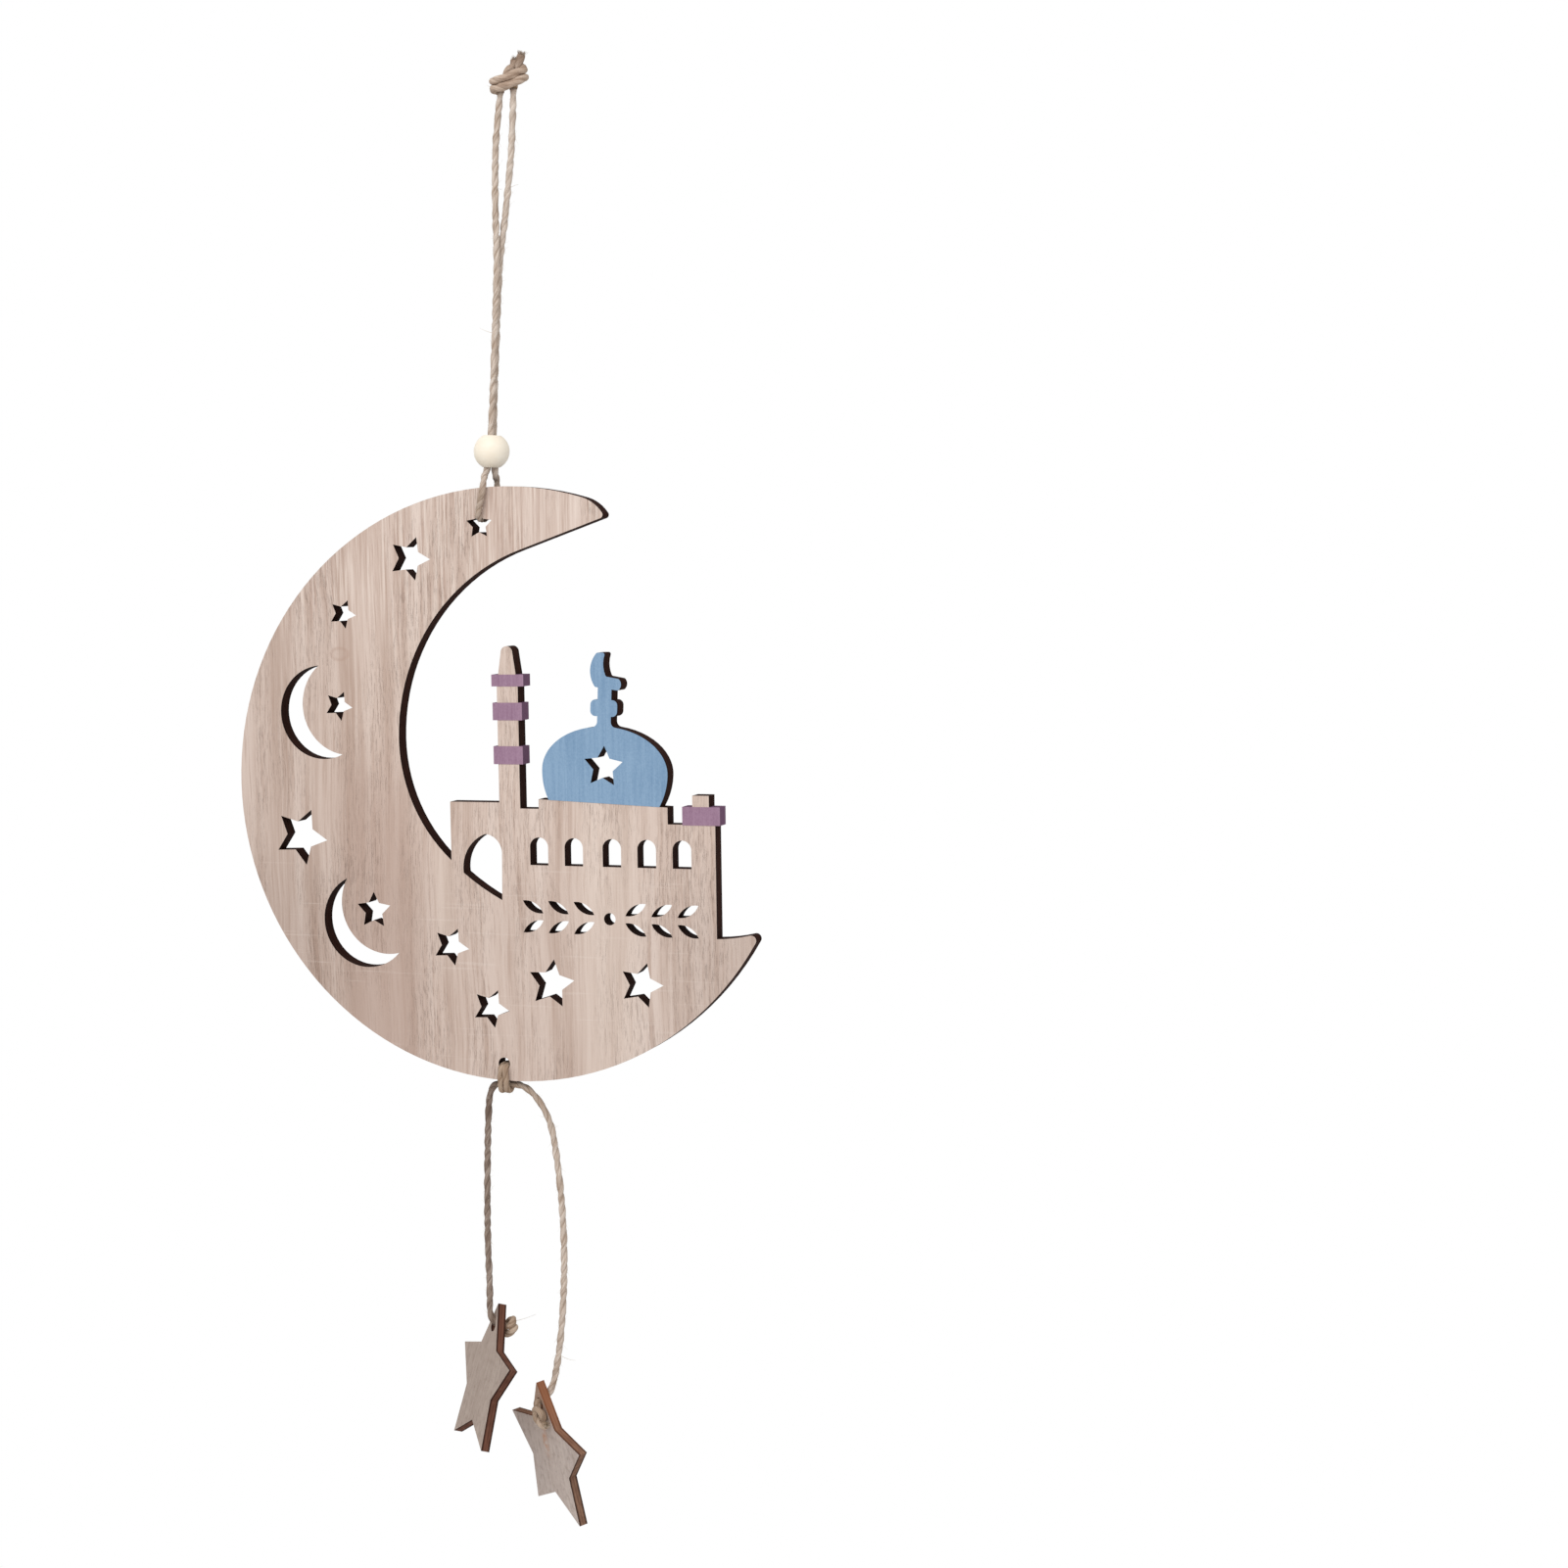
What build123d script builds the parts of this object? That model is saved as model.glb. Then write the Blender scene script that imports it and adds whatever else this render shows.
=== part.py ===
"""Hanging crescent ornament: a laser-cut plywood moon with a mosque, a bead, jute cords and two star charms.

Millimetres. X to the right, Y to the back, Z up. The origin is the eye of the hanging loop, under its knot.
Places on the board are given as (u, v), measured right and up along it from the centre of the moon. The board
hangs with its right side raised by hang_lean, as its centre of mass is left of the hole that it hangs from.
"""
import os
from math import asin, cos, degrees, pi, radians, sin, sqrt, tan

from build123d import *

os.makedirs("parts", exist_ok=True)

# Moon
board_thickness = 5.0
moon_radius = 83.4
hang_lean = 4.2
hollow_radius = 55.6
hollow_center = (23.1, 13.0)
hollow_low_radius = 45.6
hollow_end_angle = 108.0
horn_start_angle = 73.0
horn_tip_angle = 67.42
horn_tip_inset = 2.93
horn_tip_radius = 1.0
shelf_height = -40.9
shelf_dip = 0.45
toe_height = -38.7
toe_radius = 1.4

# Mosque, measured from its own upright line, which stays a shelf away from the moon's toe
shelf_width = 12.577
left_wall = -17.1
left_wall_top = -4.5
hall_left = 9.8
hall_right = 47.7
tower_wall = 61.3
eaves_height = -9.75
minaret_axis = 1.1
minaret_width = 6.3
minaret_floor = -6.1
minaret_shoulder = 31.3
minaret_top = 39.2
spire_width = 5.3
spire_round = 1.75
turret_width = 4.75
turret_height = 3.1
turret_center = 57.2

# Painted bands: middle and height of the lower edge, width, height
minaret_bands = [(1.2, 28.0, 9.6, 3.3), (1.0, 18.55, 8.8, 4.9), (1.0, 6.25, 8.8, 5.05)]
tower_band = (57.3, -9.9, 10.75, 5.05)

# Dome, drawn upright about its widest line, then leaned clockwise
dome_center = (29.5, 4.3)
dome_half_width = 18.4
dome_rise = 12.6
dome_foot = 8.6
dome_lean = 2.6
neck_width = 4.0
neck_offset = -0.45
neck_top = 24.0
neck_round = 1.6
collar_width = 7.85
collar_height = 4.6
collar_center = (-0.6, 17.7)
collar_round = 1.5
finial_heel = (-3.3, 23.4)
finial_back = (-4.85, 27.7)
finial_tip_back = (-3.0, 32.85)
finial_tip_front = (-0.5, 32.95)
finial_waist = (-0.95, 28.6)
finial_corner = (-0.2, 26.4)
finial_toe_top = (3.5, 25.9)
finial_toe_end = (4.25, 24.5)
finial_toe_foot = (3.4, 22.7)
finial_round = 0.6
paint_thickness = 0.1

# Cut-outs
star_ratio = 0.51
hanging_star_radius = 4.0
hanging_star_u = -6.26
hanging_star_inset = 10.2
star_angles = [113.5, 135.3, 156.3, 193.3, 220.9, 248.6, 264.5, 282.7, 305.7]
star_insets = [13.6, 14.2, 27.4, 17.1, 28.1, 34.3, 20.2, 26.8, 16.3]
star_radii = [6.4, 4.25, 4.4, 8.5, 5.4, 5.6, 5.7, 7.05, 6.5]
star_turns = [21.0, 24.0, 25.0, 25.0, 1.0, 24.0, 24.0, 8.0, 16.5]
dome_star_center = (29.2, 5.8)
dome_star_radius = 5.9
dome_star_turn = 4.0
crescent_radius = 13.45
crescent_bite_radius = 14.4
crescent_bite_offset = 8.3
crescent_angles = [159.9, 221.6]
crescent_insets = [23.4, 24.3]
crescent_turns = [15.0, 37.0]
window_centers = [9.65, 20.0, 31.25, 41.45, 51.65]
window_width = 5.4
window_height = 7.8
window_sill = -21.9
door_left = (-13.4, -24.6)
door_left_bulge = (-12.0, -17.9)
door_top = (-6.6, -13.45)
door_right_bulge = (-2.9, -15.3)
door_right_spring = (-1.6, -19.5)
door_right_foot = (-1.8, -32.05)
door_sill_sag = (-8.0, -28.5)
pendant_hole_u = -2.3
pendant_hole_inset = 4.8
pendant_hole_diameter = 3.5

# Leaf border under the windows
border_center = (30.3, -36.4)
leaf_length = 7.0
leaf_width = 2.4
leaf_pitch = 7.6
leaf_spread = 2.75
leaf_angle = 30.0
leaf_pairs_per_side = 3
rosette_diameter = 3.4

# Bead and cords
cord_diameter = 2.0
cord_gap = 0.25
strand_gap = 0.06
seat_height = 0.7
bead_diameter = 10.0
bead_bore = 4.4
bead_mouth = 0.1
bead_u = -3.0
bead_rise = 10.0
bead_entry_drop = 5.3
leg_rise = 1.9
hole_fold = 2.0
leg_fold = 4.4
exit_fold = 2.8
run_share = 0.45
fork_u = 0.3
fork_rise = 62.3
eye_u = 3.4
eye_rise = 105.3

# Strands above the fork: place along the board, height over the rim, depth
left_strand = [(0.05, 75.4, -0.8), (0.0, 85.3, -0.3), (0.4, 96.3, 0.0), (2.0, 107.4, 0.0)]
right_strand = [(2.0, 71.8, 0.8), (3.7, 82.8, 0.3), (5.2, 93.8, 0.0), (5.9, 108.0, 0.0)]

# Tails: place along the board, drop below the hitch's collar
left_exit_u = -8.0
left_tail = [(-8.9, 13.1), (-9.5, 29.1), (-9.8, 46.1), (-9.4, 60.1)]
right_exit_u = 2.6
right_tail = [(7.2, 4.1), (10.6, 10.6), (12.0, 19.6), (13.2, 31.1), (13.8, 45.1), (13.3, 60.1), (11.8, 75.3)]

# Hitch at the pendant hole
hitch_width = 2.7
hitch_thickness = 1.8
hitch_bend = 1.7
hitch_collar_radius = 1.3
hitch_collar_length = 4.6
hitch_drop = 2.1

# Star charms: centre of the front face (place along the board, drop below the collar, depth),
# then turn about the upright, lean forward and roll clockwise
charm_radius = 22.0
charm_ratio = 0.535
charm_thickness = 2.5
charm_hole_diameter = 3.5
charm_hole_height = 15.6
left_charm_place = (-11.2, 85.4, -3.75)
left_charm_turn = (-50.4, -16.3, -4.6)
right_charm_place = (7.5, 106.7, 0.34)
right_charm_turn = (-41.4, 10.0, 1.7)
stopper_radius = 2.6
left_stopper_length = 4.2
right_stopper_length = 3.0
stopper_round = 1.2
stopper_gap = 0.3
hanging_knot_radius = 3.2
hanging_knot_length = 10.4
hanging_knot_wrap_radius = 1.3
hanging_knot_tilt = 14.0
hanging_knot_place = (1.4, 4.7)
knot_end_round = 1.7
wrap_pitch = 2.5
knot_end_reaches = [1.6, 4.0]
knot_end_leans = [8.0, 12.0]
knot_end_length = 6.8
charm_entry = 1.3

# Values worked out from the sizes
cord_radius = cord_diameter / 2
half_board = board_thickness / 2
toe_u = sqrt(moon_radius**2 - toe_height**2)
mosque_u = toe_u - shelf_width - tower_wall
mosque_place = Location((mosque_u, 0, 0))
rim_top = sqrt(moon_radius**2 - hanging_star_u**2)
rim_foot = -sqrt(moon_radius**2 - pendant_hole_u**2)
collar_v = rim_foot - cord_gap - hitch_collar_radius
bead_v = rim_top + bead_rise
fork_v = rim_top + fork_rise
eye_v = rim_top + eye_rise
hanging_star_v = rim_top - hanging_star_inset
pendant_hole = (pendant_hole_u, rim_foot + pendant_hole_inset)
leg_depth = half_board + cord_gap + cord_radius
strand_depth = cord_radius + strand_gap / 2
seat_in_charm = charm_hole_diameter / 2 - cord_radius - stopper_gap
front_normal = (0, -1, 0)


board_right = (cos(radians(hang_lean)), 0, sin(radians(hang_lean)))
hanging_plane = Plane(origin=(0, 0, 0), x_dir=board_right, z_dir=front_normal)


def along(right, up, front):
    """Direction in the object's frame, from its parts along the board."""
    return hanging_plane.from_local_coords(Vector(right, up, front))


def place(u, v, depth=0.0):
    """Point of the object's frame for a place on the board and a depth behind its middle."""
    return along(u - eye_u, v - eye_v, -depth)


board_plane = Plane(origin=place(0, 0, half_board), x_dir=board_right, z_dir=front_normal)
paint_plane = Plane(origin=place(0, 0, -half_board), x_dir=board_right, z_dir=front_normal)


def from_rim(angle, inset):
    """Place (u, v) at an angle round the moon and a distance in from its rim."""
    reach = moon_radius - inset
    return (reach * cos(radians(angle)), reach * sin(radians(angle)))


def star_points(radius, ratio, turn):
    """Corners of a five-pointed star, turned clockwise from upright."""
    points = []
    for corner in range(10):
        reach = radius if corner % 2 == 0 else radius * ratio
        angle = radians(36 * corner + turn)
        points.append((reach * sin(angle), reach * cos(angle)))
    return points


def cut_star(center, radius, turn):
    """Star-shaped hole in the sketch that is being drawn."""
    with Locations(center):
        Polygon(*star_points(radius, star_ratio, turn), align=None, mode=Mode.SUBTRACT)


def add_block(left, right, bottom, top):
    """Upright rectangle in the sketch that is being drawn."""
    with Locations(((left + right) / 2, (bottom + top) / 2)):
        Rectangle(right - left, top - bottom)


def add_band(middle, foot, width, height):
    """Band that stands on the middle of its lower edge."""
    with Locations((middle, foot + height / 2)):
        Rectangle(width, height)


def hall_roof(u):
    """Height of the hall's leaning roof line, which is the dome's foot drawn on to both sides."""
    slope = radians(dome_lean)
    return dome_center[1] - (u - dome_center[0]) * tan(slope) - dome_foot / cos(slope)


def charm_plane(center, turn):
    """Front face of a star charm."""
    yaw = radians(turn[0])
    lean = radians(turn[1])
    normal = along(sin(yaw) * cos(lean), -sin(lean), cos(yaw) * cos(lean))
    u, drop, depth = center
    return Plane(origin=place(u, collar_v - drop, depth), x_dir=along(cos(yaw), 0, -sin(yaw)), z_dir=normal)


def charm_hole(roll):
    """Centre of a charm's hole on its front face."""
    angle = radians(roll)
    return Vector(charm_hole_height * sin(angle), charm_hole_height * cos(angle), 0)


def charm_seat(plane, roll, depth):
    """Point of the cord in a charm's hole, at a depth before (+) or behind (-) the front face."""
    angle = radians(roll)
    reach = charm_hole_height + seat_in_charm
    return plane.from_local_coords(Vector(reach * sin(angle), reach * cos(angle), depth))


def corner_radii(points, folds):
    """Radius at each corner of a cord: as large as its runs allow, or that of the fold named there."""
    radii = []
    for index in range(1, len(points) - 1):
        before = points[index] - points[index - 1]
        after = points[index + 1] - points[index]
        half_turn = radians(before.get_angle(after)) / 2
        widest = run_share * min(before.length, after.length) / tan(half_turn)
        radii.append(folds.get(index, widest))
    return radii


def report_cord(name, wire, radii, solid):
    """Print a cord's length and radii, and its volume against section times length."""
    ratio = solid.volume / (pi * cord_radius**2 * wire.length)
    listed = " ".join(f"{radius:.1f}" for radius in radii)
    print(f"{name}: length {wire.length:.1f}, radii {listed}, volume ratio {ratio:.4f}")


# Silhouettes that the board and its paint share
with BuildSketch() as finial_shape:
    with BuildLine():
        ThreePointArc(finial_heel, finial_back, finial_tip_back)
        Line(finial_tip_back, finial_tip_front)
        ThreePointArc(finial_tip_front, finial_waist, finial_corner)
        Line(finial_corner, finial_toe_top)
        ThreePointArc(finial_toe_top, finial_toe_end, finial_toe_foot)
        Line(finial_toe_foot, finial_heel)
    make_face()
    fillet(finial_shape.vertices(), finial_round)

with BuildSketch() as dome_shape:
    with BuildLine():
        flank = degrees(asin(dome_foot / dome_half_width))
        EllipticalCenterArc((0, 0), dome_half_width, dome_rise, start_angle=0, arc_size=180)
        left_flank = CenterArc((0, 0), dome_half_width, 180, flank)
        right_flank = CenterArc((0, 0), dome_half_width, 0, -flank)
        Line(left_flank @ 1, right_flank @ 1)
    make_face()
    with Locations((neck_offset, neck_top / 2)):
        Rectangle(neck_width, neck_top)
    for side in (-1, 1):
        neck_foot = (neck_offset + side * neck_width / 2, dome_rise)
        fillet(dome_shape.vertices().sort_by_distance(neck_foot)[0], neck_round)
    with Locations(collar_center):
        RectangleRounded(collar_width, collar_height, collar_round)
    add(finial_shape.sketch)
dome_silhouette = dome_shape.sketch.moved(Location((*dome_center, 0), (0, 0, -dome_lean)))

with BuildSketch() as band_shape:
    for band in [*minaret_bands, tower_band]:
        add_band(*band)

# Cut-outs that are used more than once
with BuildSketch() as leaf_shape:
    with BuildLine():
        leaf_start = (-leaf_length / 2, 0)
        leaf_end = (leaf_length / 2, 0)
        ThreePointArc(leaf_start, (0, leaf_width / 2), leaf_end)
        ThreePointArc(leaf_end, (0, -leaf_width / 2), leaf_start)
    make_face()

with BuildSketch() as window_shape:
    half_window = window_width / 2
    spring = window_height - half_window
    with BuildLine():
        Polyline((-half_window, spring), (-half_window, 0), (half_window, 0), (half_window, spring))
        CenterArc((0, spring), half_window, 0, 180)
    make_face()

with BuildSketch() as crescent_shape:
    Circle(crescent_radius)
    with Locations((crescent_bite_offset, 0)):
        Circle(crescent_bite_radius, mode=Mode.SUBTRACT)

# Mosque above the hall's eaves, and all that is cut through it
with BuildSketch() as mosque_shape:
    add_block(left_wall, minaret_axis, eaves_height, left_wall_top)
    add_block(minaret_axis, hall_left, eaves_height, minaret_floor)
    hall_corners = [
        (hall_left, eaves_height),
        (hall_right, eaves_height),
        (hall_right, hall_roof(hall_right)),
        (hall_left, hall_roof(hall_left)),
    ]
    Polygon(*hall_corners, align=None)
    add_band(minaret_axis, eaves_height, minaret_width, minaret_shoulder - eaves_height)
    spire_top = minaret_top - spire_round
    spire_corners = [
        (minaret_axis - spire_width / 2, minaret_shoulder),
        (minaret_axis + spire_width / 2, minaret_shoulder),
        (minaret_axis + spire_round, spire_top),
        (minaret_axis - spire_round, spire_top),
    ]
    Polygon(*spire_corners, align=None)
    with Locations((minaret_axis, spire_top)):
        Circle(spire_round)
    add_band(turret_center, tower_band[1] + tower_band[3], turret_width, turret_height)
    add(band_shape.sketch)
    add(dome_silhouette)

with BuildSketch() as mosque_cuts:
    with Locations(dome_star_center):
        Polygon(*star_points(dome_star_radius, star_ratio, dome_star_turn), align=None)
    for center in window_centers:
        add(window_shape.sketch.moved(Location((center, window_sill, 0))))
    with BuildLine():
        ThreePointArc(door_left, door_left_bulge, door_top)
        ThreePointArc(door_top, door_right_bulge, door_right_spring)
        Line(door_right_spring, door_right_foot)
        ThreePointArc(door_right_foot, door_sill_sag, door_left)
    make_face()
    for side in (-1, 1):
        for pair in range(1, leaf_pairs_per_side + 1):
            for rise in (-1, 1):
                leaf_u = border_center[0] + side * pair * leaf_pitch
                leaf_v = border_center[1] + rise * leaf_spread
                leaf_place = Location((leaf_u, leaf_v, 0), (0, 0, side * rise * leaf_angle))
                add(leaf_shape.sketch.moved(leaf_place))
    with Locations(border_center):
        Circle(rosette_diameter / 2)

# Crescent board, one sheet of plywood
with BuildPart() as crescent_board:
    with BuildSketch(board_plane) as board_face:
        horn_tip = from_rim(horn_tip_angle, horn_tip_inset)
        toe = (toe_u, toe_height)
        wall_u = mosque_u + tower_wall
        shelf_middle = ((toe_u + wall_u) / 2, (toe_height + shelf_height) / 2 - shelf_dip)
        rim_sweep = 360 - horn_start_angle + degrees(asin(toe_height / moon_radius))
        low_center = (hollow_center[0] - hollow_radius + hollow_low_radius, hollow_center[1])
        wall_reach = low_center[0] - mosque_u - left_wall
        wall_drop = sqrt(hollow_low_radius**2 - wall_reach**2)
        low_sweep = degrees(asin(wall_drop / hollow_low_radius))
        with BuildLine():
            rim = CenterArc((0, 0), moon_radius, horn_start_angle, rim_sweep)
            ThreePointArc(rim @ 1, shelf_middle, (wall_u, shelf_height))
            Polyline(
                (wall_u, shelf_height),
                (wall_u, eaves_height),
                (mosque_u + left_wall, eaves_height),
                (mosque_u + left_wall, low_center[1] - wall_drop),
            )
            CenterArc(low_center, hollow_low_radius, 180, low_sweep)
            hollow = CenterArc(hollow_center, hollow_radius, 180, hollow_end_angle - 180)
            Line(hollow @ 1, horn_tip)
            TangentArc(rim @ 0, horn_tip, tangent=(rim % 0) * -1)
        make_face()
        fillet(board_face.vertices().sort_by_distance(horn_tip)[0], horn_tip_radius)
        fillet(board_face.vertices().sort_by_distance(toe)[0], toe_radius)
        add(mosque_shape.sketch.moved(mosque_place))
        add(mosque_cuts.sketch.moved(mosque_place), mode=Mode.SUBTRACT)
        cut_star((hanging_star_u, hanging_star_v), hanging_star_radius, 0)
        for angle, inset, radius, turn in zip(star_angles, star_insets, star_radii, star_turns):
            cut_star(from_rim(angle, inset), radius, turn)
        for angle, inset, turn in zip(crescent_angles, crescent_insets, crescent_turns):
            crescent_place = Location((*from_rim(angle, inset), 0), (0, 0, turn))
            add(crescent_shape.sketch.moved(crescent_place), mode=Mode.SUBTRACT)
        with Locations(pendant_hole):
            Circle(pendant_hole_diameter / 2, mode=Mode.SUBTRACT)
    extrude(amount=board_thickness)
crescent_board.part.label = "crescent_board"
export_step(crescent_board.part, "parts/crescent_board.step")

# Coat of paint on the front of the dome
with BuildPart() as dome_paint:
    with BuildSketch(paint_plane):
        add(dome_silhouette.moved(mosque_place))
        add(mosque_cuts.sketch.moved(mosque_place), mode=Mode.SUBTRACT)
    extrude(amount=paint_thickness)
dome_paint.part.label = "dome_paint"
export_step(dome_paint.part, "parts/dome_paint.step")

# Coats of paint on the bands, one film for each
for index, (middle, foot, width, height) in enumerate([*minaret_bands, tower_band]):
    with BuildPart() as band_paint:
        with BuildSketch(paint_plane):
            add_band(mosque_u + middle, foot, width, height)
        extrude(amount=paint_thickness)
    band_paint.part.label = f"band_paint_{index + 1}"
    export_step(band_paint.part, f"parts/band_paint_{index + 1}.step")

# Wooden bead on the two strands of the hanging cord
pair_axis = place(fork_u, fork_v) - place(bead_u, bead_v)
with BuildPart(Plane(origin=place(bead_u, bead_v), z_dir=pair_axis)) as wooden_bead:
    Sphere(bead_diameter / 2)
    Cylinder(bead_bore / 2, bead_diameter, mode=Mode.SUBTRACT)
    fillet(wooden_bead.edges().filter_by(GeomType.CIRCLE), bead_mouth)
wooden_bead.part.label = "wooden_bead"
export_step(wooden_bead.part, "parts/wooden_bead.step")

# Hanging cord: from the star hole up both faces of the board, through the bead, and apart to the knot
seat_v = hanging_star_v + seat_height
pair_lean = (fork_u - bead_u) / (fork_v - bead_v)
entry_v = bead_v - bead_entry_drop
entry_u = bead_u - bead_entry_drop * pair_lean
leg_top_v = rim_top + leg_rise
leg_top_u = hanging_star_u + (entry_u - hanging_star_u) * (leg_top_v - seat_v) / (entry_v - seat_v)


def hanging_route(side, strand):
    """Points of one half of the hanging cord: side -1 runs up the front of the board, 1 up its back."""
    route = [
        place(hanging_star_u, seat_v),
        place(hanging_star_u, seat_v, side * leg_depth),
        place(leg_top_u, leg_top_v, side * leg_depth),
        place(entry_u, entry_v, side * strand_depth),
        place(fork_u, fork_v, side * strand_depth),
    ]
    return route + [place(u, rim_top + rise, depth) for u, rise, depth in strand]


hanging_folds = {1: hole_fold, 2: leg_fold, 3: leg_fold}
front_route = hanging_route(-1, left_strand)
front_radii = corner_radii(front_route, hanging_folds)
with BuildPart() as cord_front:
    with BuildLine():
        front_wire = FilletPolyline(*front_route, radius=front_radii)
    with BuildSketch(Plane(origin=front_wire @ 0, z_dir=front_wire % 0)):
        Circle(cord_radius)
    sweep()
cord_front.part.label = "cord_front"
report_cord("cord_front", front_wire, front_radii, cord_front.part)
export_step(cord_front.part, "parts/cord_front.step")

back_route = hanging_route(1, right_strand)
back_radii = corner_radii(back_route, hanging_folds)
with BuildPart() as cord_back:
    with BuildLine():
        back_wire = FilletPolyline(*back_route, radius=back_radii)
    with BuildSketch(Plane(origin=back_wire @ 0, z_dir=back_wire % 0)):
        Circle(cord_radius)
    sweep()
cord_back.part.label = "cord_back"
report_cord("cord_back", back_wire, back_radii, cord_back.part)
export_step(cord_back.part, "parts/cord_back.step")

# Knot that ties the two strands into the hanging loop, with its two cut ends
tilt = radians(hanging_knot_tilt)
knot_axis = along(cos(tilt), sin(tilt), 0)
knot_center = along(*hanging_knot_place, 0)
knot_core = hanging_knot_radius - hanging_knot_wrap_radius
with BuildPart(Plane(origin=knot_center, z_dir=knot_axis)) as hanging_knot:
    Cylinder(knot_core, hanging_knot_length)
    fillet(hanging_knot.edges().filter_by(GeomType.CIRCLE), knot_end_round)
    for turn in (-1, 0, 1):
        with Locations((0, 0, turn * wrap_pitch)):
            Torus(knot_core, hanging_knot_wrap_radius)
    for reach, lean in zip(knot_end_reaches, knot_end_leans):
        end_plane = Plane(
            origin=knot_center + knot_axis * reach,
            z_dir=along(sin(radians(lean)), cos(radians(lean)), 0),
        )
        with BuildSketch(end_plane):
            Circle(cord_radius)
        extrude(amount=knot_end_length)
hanging_knot.part.label = "hanging_knot"
export_step(hanging_knot.part, "parts/hanging_knot.step")

# Hitch of the pendant cord: a flat loop through the lower hole and round the edge, and its collar
hitch_u = pendant_hole_u
hitch_eye = pendant_hole[1] - pendant_hole_diameter / 2 + cord_gap + hitch_thickness / 2
hitch_depth = half_board + cord_gap + hitch_thickness / 2
hitch_foot = rim_foot - hitch_drop
with BuildPart() as pendant_hitch:
    with BuildLine():
        hitch_corners = [
            place(hitch_u, hitch_eye, -hitch_depth),
            place(hitch_u, hitch_foot, -hitch_depth),
            place(hitch_u, hitch_foot, hitch_depth),
            place(hitch_u, hitch_eye, hitch_depth),
        ]
        hitch_wire = FilletPolyline(*hitch_corners, radius=hitch_bend, close=True)
    with BuildSketch(Plane(origin=hitch_wire @ 0, x_dir=board_right, z_dir=hitch_wire % 0)):
        Ellipse(hitch_width / 2, hitch_thickness / 2)
    sweep()
    with BuildSketch(Plane(origin=place(hitch_u - hitch_collar_length / 2, collar_v), z_dir=board_right)):
        Circle(hitch_collar_radius)
    extrude(amount=hitch_collar_length)
pendant_hitch.part.label = "pendant_hitch"
export_step(pendant_hitch.part, "parts/pendant_hitch.step")

# Star charms, thin plywood
left_plane = charm_plane(left_charm_place, left_charm_turn)
right_plane = charm_plane(right_charm_place, right_charm_turn)
with BuildPart() as star_charm_left:
    with BuildSketch(left_plane):
        Polygon(*star_points(charm_radius, charm_ratio, left_charm_turn[2]), align=None)
        with Locations(charm_hole(left_charm_turn[2])):
            Circle(charm_hole_diameter / 2, mode=Mode.SUBTRACT)
    extrude(amount=-charm_thickness)
star_charm_left.part.label = "star_charm_left"
export_step(star_charm_left.part, "parts/star_charm_left.step")

with BuildPart() as star_charm_right:
    with BuildSketch(right_plane):
        Polygon(*star_points(charm_radius, charm_ratio, right_charm_turn[2]), align=None)
        with Locations(charm_hole(right_charm_turn[2])):
            Circle(charm_hole_diameter / 2, mode=Mode.SUBTRACT)
    extrude(amount=-charm_thickness)
star_charm_right.part.label = "star_charm_right"
export_step(star_charm_right.part, "parts/star_charm_right.step")

# Left tail: from the collar down to the left charm, in at its front
left_end = charm_seat(left_plane, left_charm_turn[2], -charm_thickness - stopper_gap)
left_route = [
    place(hitch_u - hitch_collar_length / 2 - stopper_gap, collar_v),
    place(left_exit_u, collar_v),
    *[place(u, collar_v - drop) for u, drop in left_tail],
    charm_seat(left_plane, left_charm_turn[2], charm_entry),
    left_end,
]
left_radii = corner_radii(left_route, {1: exit_fold, len(left_route) - 2: hole_fold})
with BuildPart() as tail_left:
    with BuildLine():
        left_wire = FilletPolyline(*left_route, radius=left_radii)
    with BuildSketch(Plane(origin=left_wire @ 0, z_dir=left_wire % 0)):
        Circle(cord_radius)
    sweep()
tail_left.part.label = "tail_left"
report_cord("tail_left", left_wire, left_radii, tail_left.part)
export_step(tail_left.part, "parts/tail_left.step")

# Right tail: from the collar down to the right charm, in at its back
right_end = charm_seat(right_plane, right_charm_turn[2], stopper_gap)
right_route = [
    place(hitch_u + hitch_collar_length / 2 + stopper_gap, collar_v),
    place(right_exit_u, collar_v),
    *[place(u, collar_v - drop) for u, drop in right_tail],
    charm_seat(right_plane, right_charm_turn[2], -charm_thickness - charm_entry),
    right_end,
]
right_radii = corner_radii(right_route, {len(right_route) - 2: hole_fold})
with BuildPart() as tail_right:
    with BuildLine():
        right_wire = FilletPolyline(*right_route, radius=right_radii)
    with BuildSketch(Plane(origin=right_wire @ 0, z_dir=right_wire % 0)):
        Circle(cord_radius)
    sweep()
tail_right.part.label = "tail_right"
report_cord("tail_right", right_wire, right_radii, tail_right.part)
export_step(tail_right.part, "parts/tail_right.step")

# Stopper knots that keep the charms on their tails
with BuildPart() as stopper_left:
    with BuildSketch(Plane(origin=left_end, z_dir=left_plane.z_dir * -1)):
        Circle(stopper_radius)
    extrude(amount=left_stopper_length)
    fillet(stopper_left.edges().filter_by(GeomType.CIRCLE), stopper_round)
stopper_left.part.label = "stopper_left"
export_step(stopper_left.part, "parts/stopper_left.step")

with BuildPart() as stopper_right:
    with BuildSketch(Plane(origin=right_end, z_dir=right_plane.z_dir)):
        Circle(stopper_radius)
    extrude(amount=right_stopper_length)
    fillet(stopper_right.edges().filter_by(GeomType.CIRCLE), stopper_round)
stopper_right.part.label = "stopper_right"
export_step(stopper_right.part, "parts/stopper_right.step")
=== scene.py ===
"""Hanging crescent ornament: laser-cut plywood, painted dome and bands, bead, jute twine and star charms."""

import random
from math import cos, exp, pi, radians, sin, sqrt

import bpy
from mathutils import Matrix, Vector


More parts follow.
